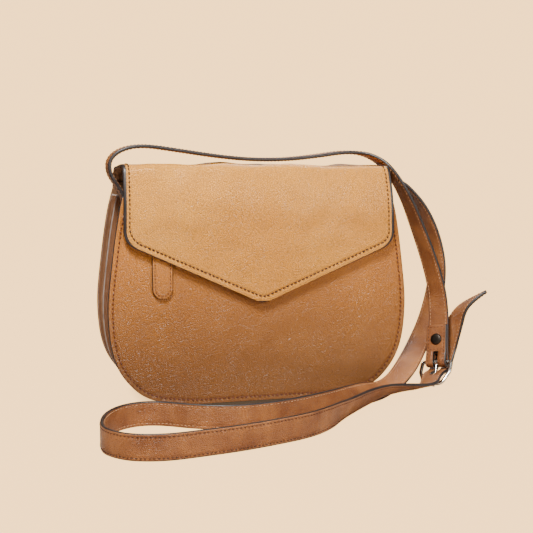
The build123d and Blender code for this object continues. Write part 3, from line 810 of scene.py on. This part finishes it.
# --- Flap
def flap_line():
    """Side view of the flap's outer face from below its tip, over the top and down the back."""
    face = FRONT - FLAP_OUT
    back = BACK + FLAP_BACK_OUT
    lean_front, lean_back = math.radians(21), math.radians(20)
    knee_front = BEND_START + (BEND_RADIUS + FLAP_OUT) * math.tan(lean_front / 2)
    knee_back = BEND_START + (BEND_RADIUS + FLAP_BACK_OUT) * math.tan(lean_back / 2)
    corners = [
        (face, FLAP_LINE_Z), (face, knee_front),
        (face + (FLAP_TOP_Z - knee_front) * math.tan(lean_front), FLAP_TOP_Z),
        (back - (FLAP_TOP_Z - knee_back) * math.tan(lean_back), FLAP_TOP_Z),
        (back, knee_back), (back, 0.158),
    ]
    radii = [BEND_RADIUS + FLAP_OUT, 0.0076, 0.013, BEND_RADIUS + FLAP_BACK_OUT]
    return rounded_path(corners, radii, 0.0012)


FLAP_PATH = flap_line()
FLAP_RUN = lengths_along(FLAP_PATH) + FLAP_LINE_Z
FLAP_END = FLAP_RUN[-1]


def flap_place(x, run, height):
    """Point and normal on the flap: run is the distance up the front, over and down the back."""
    heading = np.gradient(FLAP_PATH, axis=0)
    heading /= np.linalg.norm(heading, axis=1, keepdims=True)
    low = np.clip((0.185 - run) / 0.035, 0, 1)
    shifted = run - 0.0026 * x / FLAP_HALF * low * low * (3 - 2 * low)
    y, z, dy, dz = [np.interp(shifted, FLAP_RUN, source) for source in (*FLAP_PATH.T, *heading.T)]
    size = np.sqrt(dy**2 + dz**2)
    normal = np.stack([np.zeros_like(y), -dz / size, dy / size], -1)
    top = np.exp(-((run - 0.222) / 0.030)**2)
    tilt = top * (0.0016 - 0.0017 * x / FLAP_HALF + 0.0006 * np.cos(x * 46 + 0.8))
    point = np.stack([x, y, z + tilt], -1)
    return point + normal * np.asarray(height)[..., None], normal


def flap_outline():
    """Flat outline of the flap, from the top left down, over the tip and up to the top right."""
    corners = [(-FLAP_TOP_HALF, 0.230), (-FLAP_HALF, FLAP_CORNER_Z), (0, FLAP_TIP_Z),
               (FLAP_HALF, FLAP_CORNER_Z), (FLAP_TOP_HALF, 0.230)]
    lower = rounded_path(corners, [0.022, 0.017, 0.017], 0.0012)
    right = np.array([[FLAP_TOP_HALF, run] for run in np.arange(0.2312, FLAP_END, 0.0012)])
    left = right[::-1] * (-1, 1)
    return np.concatenate([left, lower, right])


def flap():
    outline = flap_outline()
    right = outline[outline[:, 0] >= 0]
    right = right[np.argsort(right[:, 1])]
    runs = np.concatenate([
        np.arange(right[0, 1] + 0.00003, 0.0920, 0.0003), np.arange(0.0920, 0.150, 0.0006),
        np.arange(0.150, 0.196, 0.0013), np.arange(0.196, 0.222, 0.0008), np.arange(0.222, FLAP_END, 0.0016),
    ])
    runs = runs[runs < FLAP_END - 0.001]
    runs = np.concatenate([runs, [FLAP_END - 0.0006, FLAP_END - 0.0002]])
    halves = np.interp(runs, right[:, 1], right[:, 0])
    row = full_row(0.14, 20, 40)
    x = halves[:, None] * row[None, :]
    run = np.repeat(runs[:, None], len(row), 1)
    ends = np.array([[x0, FLAP_END] for x0 in np.linspace(-FLAP_TOP_HALF, FLAP_TOP_HALF, 200)])
    rim = np.concatenate([outline, ends])
    distance = distance_grid(x, run, rim)
    height = seam_relief(distance, FLAP_SEAM, 0.00045)
    soft = np.clip(distance / 0.035, 0, 1)
    waves = swelling(x, run, (5, 20), (9, 52), 0.45)
    valley = -0.0011 * np.exp(-((x - 0.012) / 0.022)**2 - ((run - 0.150) / 0.045)**2)
    belly = 0.0012 * np.exp(-((x + 0.070) / 0.038)**2 - ((run - 0.160) / 0.035)**2)
    belly += 0.0009 * np.exp(-((x - 0.075) / 0.036)**2 - ((run - 0.160) / 0.035)**2)
    height = height + np.maximum(waves * 0.0030 + 0.0009 + valley + belly, -0.0003) * soft
    points, normals = flap_place(x, run, height)
    # lip=3 spreads the dark edge paint onto the flap's face: partly its real painted edge, partly painted
    # shade along its lower edges
    made = shell("flap", points, normals, FLAP_THICK, [FLAP_TAN, SUEDE, EDGE], None, lip=3)
    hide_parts("flap_top", "flap_front", "flap_lining")
    bend(made)
    line = offset_curve(outline, FLAP_SEAM)
    line = line[(line[:, 1] < FLAP_END - 0.006)]
    tops = np.array([[x0, FLAP_END - 0.005] for x0 in np.linspace(0.1145, -0.1145, 120)])
    places, facing = flap_place(line[:, 0], line[:, 1], np.full(len(line), 0.0001))
    bend(stitches("flap_stitches", places, facing, 0.0038, DARK_THREAD, None))
    places, facing = flap_place(tops[:, 0], tops[:, 1], np.full(len(tops), 0.0001))
    stitches("flap_back_stitches", places, facing, 0.0038, DARK_THREAD, "bag")


def bend(obj):
    """Bakes the piece's placement into its mesh."""
    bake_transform(obj)


# --- Pull tab
def tab_halves(heights, side):
    """Half width of the tab at each height, from its right-hand outline."""
    rising = side[np.argsort(side[:, 1], kind="stable")]
    widths, levels = rising.T
    rounded = levels < TAB_STRAIGHT
    widest = np.maximum.accumulate(np.where(rounded, widths, 0))
    return np.interp(heights, levels, np.where(rounded, widest, widths))


def pull_tab():
    face = FRONT - TAB_OUT
    corners = [(0, TAB_BOTTOM), (TAB_HALF, TAB_BOTTOM), (TAB_HALF, TAB_TOP), (TAB_HALF - 0.004, TAB_TOP)]
    side = rounded_path(corners, [TAB_HALF * 0.98, 0.0025], 0.0005)
    heights = np.concatenate([
        np.arange(TAB_BOTTOM + 0.00002, TAB_BOTTOM + 0.008, 0.00025),
        np.arange(TAB_BOTTOM + 0.008, TAB_TOP - 0.003, 0.001), np.arange(TAB_TOP - 0.003, TAB_TOP, 0.0004),
    ])
    row = full_row(0.5, 12, 5)
    x = tab_halves(heights, side)[:, None] * row[None, :]
    z = np.repeat(heights[:, None], len(row), 1)
    distance = distance_grid(x, z, np.concatenate([side, side * (-1, 1)]))
    height = -0.00025 * np.exp(-((distance - TAB_SEAM) / 0.0006)**2)
    height += 0.00015 * (1 - np.exp(-distance / 0.002))
    points = np.stack([x + SLIDER_X, face - height, z], -1)
    normals = np.tile(np.array([0.0, -1.0, 0.0]), (*x.shape, 1))
    made = shell("pull_tab_leather", points, normals, TAB_THICK, [TAN, SUEDE, EDGE], "pull")
    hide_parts("pull_tab")
    inner = TAB_HALF - TAB_SEAM
    top = TAB_TOP - 0.003
    low = TAB_BOTTOM + TAB_SEAM
    ring = rounded_path([(0.001, top), (inner, top), (inner, low), (-inner, low), (-inner, top), (0, top)],
                        [0.001, inner * 0.97, inner * 0.97, 0.001], 0.0006)
    line = np.stack([ring[:, 0] + SLIDER_X, np.full(len(ring), face - 0.00005), ring[:, 1]], 1)
    facing = np.tile([0.0, -1.0, 0.0], (len(line), 1))
    stitches("pull_tab_stitches", line, facing, 0.0030, RUST_THREAD, "pull", 0.0019, 0.0006)


# --- Straps
def spline_through(values):
    """Smooth spline with these control points, sampled evenly in its parameter."""
    data = bpy.data.curves.new("route", "CURVE")
    data.dimensions = "3D"
    data.resolution_u = 12
    spline = data.splines.new("NURBS")
    spline.points.add(len(values) - 1)
    for point, value in zip(spline.points, values):
        point.co = (*value, 1)
    spline.order_u = 3
    spline.use_endpoint_u = True
    holder = new_object("route", data)
    bpy.context.view_layer.update()
    mesh = bpy.data.meshes.new_from_object(holder.evaluated_get(bpy.context.evaluated_depsgraph_get()))
    sampled = np.array([vertex.co for vertex in mesh.vertices], float)
    bpy.data.objects.remove(holder)
    return sampled


def strap_frame(route):
    """Centre line, direction across and outer normal along a strap."""
    centre = spline_through([point for point, _ in route])
    across = spline_through([direction for _, direction in route])
    along = np.gradient(centre, axis=0)
    along /= np.linalg.norm(along, axis=1, keepdims=True)
    across -= along * np.sum(across * along, axis=1, keepdims=True)
    across /= np.linalg.norm(across, axis=1, keepdims=True)
    return centre, across, np.cross(across, along)


def strap_profile():
    """Cross-section of a stitched strap, places across and up: its two halves are alike."""
    half, up = STRAP_HALF, STRAP_THICK / 2
    top = [(-0.96, 0.86), (-0.91, 0.98), (-0.84, 1.0), (-STRAP_SEAM, 0.84), (-0.72, 1.0), (-0.5, 1.06),
           (-0.2, 1.08), (0.2, 1.08), (0.5, 1.06), (0.72, 1.0), (STRAP_SEAM, 0.84), (0.84, 1.0),
           (0.91, 0.98), (0.96, 0.86)]
    edge = [(1.0, 0.5), (1.01, 0.0), (1.0, -0.5)]
    lower = [(-a, -b) for a, b in top]
    other = [(-a, -b) for a, b in edge]
    return [(a * half, b * up) for a, b in top + edge + lower + other]


def strap(name, route, node):
    centre, across, outer = strap_frame(route)
    profile = strap_profile()
    count = len(profile)
    rings = len(centre)
    places = np.concatenate([centre[:, None] + across[:, None] * a + outer[:, None] * b
                             for a, b in profile], axis=1).reshape(rings, count, 3)
    faces = ring_faces(rings, count)
    faces += [tuple(range(ring * count, (ring + 1) * count)) for ring in (0, rings - 1)]
    half = count // 2
    painted = [int(k % half >= half - EDGE_FACES) for k in range(count)]
    kinds = painted * (rings - 1) + [1, 1]
    mesh = new_mesh(name, places.reshape(-1, 3).tolist(), faces)
    made = add_object(name, mesh, [STRAP, EDGE], "bag")
    mesh.polygons.foreach_set("material_index", kinds)
    outward(mesh)
    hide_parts(node)
    threads = []
    for face, material in ((1, DARK_THREAD), (-1, LIGHT_THREAD)):
        for edge in (-1, 1):
            line = centre + across * edge * STRAP_SEAM * STRAP_HALF + outer * face * STRAP_THICK / 2 * 0.93
            where = ("outer" if face > 0 else "inner") + ("_near" if edge > 0 else "_far")
            label = f"{name}_stitches_{where}"
            threads.append(stitches(label, line, outer * face, 0.0033, material, "bag",
                                    0.0021, 0.0006))
    return made, threads, centre


def prong_hole(obj, start, end):
    """Slot through a strap for the buckle's prong, between two distances from the heel bar."""
    up = BUCKLE_ACROSS.cross(BUCKLE_ALONG)
    half, reach = 0.0024, 0.016
    places = [tuple(BUCKLE_CENTRE + BUCKLE_ACROSS * a + BUCKLE_ALONG * b + up * c)
              for a in (-half, half) for b in (start, end) for c in (-reach, reach)]
    faces = [(0, 1, 3, 2), (4, 6, 7, 5), (0, 4, 5, 1), (2, 3, 7, 6), (0, 2, 6, 4), (1, 5, 7, 3)]
    cut(obj, cutter_shape(places, faces))


def cross_stitches():
    """Stitch rows that close the short strap's fold."""
    rows = []
    for up in FOLD_ROWS:
        ends = [Vector(at_fold(up, 0.00325)) + BUCKLE_ACROSS * a for a in (-0.0072, 0.0072)]
        line = np.array([ends[0].lerp(ends[1], i / 20) for i in range(21)])
        facing = np.tile(np.array(STRAP_INNER), (21, 1))
        rows.append(stitches(f"fold_stitches_{round(up * 1e4)}", line, facing, 0.0030, RUST_THREAD,
                             "bag", 0.0021, 0.0007))
    return rows


def turned(name, profile, centre, axis, material, body, steps=32):
    """Round piece: a profile of radii and heights turned about an axis."""
    axis = Vector(axis).normalized()
    side = axis.orthogonal().normalized()
    other = axis.cross(side)
    places = []
    for radius, height in profile:
        for k in range(steps):
            angle = 2 * math.pi * k / steps
            place = side * math.cos(angle) * radius + other * math.sin(angle) * radius + axis * height
            places.append(tuple(Vector(centre) + place))
    faces = ring_faces(len(profile), steps)
    faces.append(tuple(range(steps)))
    faces.append(tuple(range((len(profile) - 1) * steps, len(profile) * steps)))
    mesh = new_mesh(name, places, faces)
    outward(mesh)
    return add_object(name, mesh, [material], body)


def strap_rivet():
    """Domed dark cap on both faces of the folded strap, joined by its shaft."""
    dome = [(0.0016, -0.0030), (0.0053, -0.0033), (0.0053, -0.0038), (0.0036, -0.0043), (0.0015, -0.0044)]
    profile = [(r, h) for r, h in reversed(dome)] + [(r, -h) for r, h in dome]
    made = turned("rivet_caps", profile, at_fold(0.021, 0), STRAP_INNER, DARK_METAL, "bag")
    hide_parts("strap_rivet")
    return made


def buckle_frame():
    """Flat-sided wire frame with softly rounded corners, thicker than it is wide."""
    bow = [(0, 0), (0.0143, 0), (0.0143, 0.011), (0.0085, 0.0234), (-0.0085, 0.0234), (-0.0143, 0.011),
           (-0.0143, 0), (-0.0001, 0)]
    path = rounded_path(bow, [0.0022, 0.006, 0.006, 0.006, 0.006, 0.0022], 0.0006)[:-1]
    lift = BUCKLE_ACROSS.cross(BUCKLE_ALONG)
    section = []
    for i in range(16):
        angle = 2 * math.pi * i / 16
        flat = [math.copysign(abs(part)**0.7, part) for part in (math.cos(angle), math.sin(angle))]
        section.append((flat[0] * 0.0016, flat[1] * 0.0015))
    heading = np.roll(path, -1, axis=0) - np.roll(path, 1, axis=0)
    heading /= np.linalg.norm(heading, axis=1, keepdims=True)
    places = []
    count, rings = len(section), len(path)
    for point, ahead in zip(path, heading):
        for a, b in section:
            flat = (point[0] - ahead[1] * a, point[1] + ahead[0] * a)
            places.append(tuple(BUCKLE_CENTRE + BUCKLE_ACROSS * flat[0] + BUCKLE_ALONG * flat[1] + lift * b))
    faces = [tuple(corner % (rings * count) for corner in face) for face in ring_faces(rings + 1, count)]
    mesh = new_mesh("buckle_wire", places, faces)
    outward(mesh)
    made = add_object("buckle_wire", mesh, [NICKEL], "bag")
    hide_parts("buckle_frame")
    return made


def finish_cad_nodes():
    """Gives the pieces that are shown as they were designed their materials."""
    looks = {
        "front_lining": LINING, "rear_lining": LINING, "slip_pocket": LINING, "zip_pocket_bag": LINING,
        "flap_magnet": STEEL, "panel_magnet": STEEL, "zip_tapes": TAPE, "zip_teeth": BRASS,
        "zip_stops": BRASS, "zip_slider": BRASS, "pull_link": BRASS, "anchor_patch_left": BAND,
        "anchor_patch_right": BAND, "anchor_rivets": DARK_METAL, "buckle_prong": NICKEL,
    }
    for name, material in looks.items():
        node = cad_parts[name]
        node.data.materials.clear()
        node.data.materials.append(material)


make_camera()
make_stage()
short_strap, short_threads, short_line = strap("strap_short_leather", SHORT_ROUTE, "strap_short")
long_strap, long_threads, long_line = strap("strap_long_leather", LONG_ROUTE, "strap_long")
prong_hole(short_strap, -0.0075, 0.0065)
prong_hole(long_strap, -0.001, 0.017)
fold_rows = cross_stitches()
rivet = strap_rivet()
wire = buckle_frame()
front = body_panel("front_leather", -1, PANEL_TOP, "front_panel")
zip_opening(front)
body_panel("back_leather", 1, BACK_TOP, "back_panel")
divider()
gusset("front_band", FRONT + PANEL_THICK, MIDDLE - PANEL_THICK / 2 - BAND_GAP, "front_gusset")
gusset("rear_band", MIDDLE + PANEL_THICK / 2 + BAND_GAP, BACK - PANEL_THICK, "rear_gusset")
flap()
pull_tab()
finish_cad_nodes()
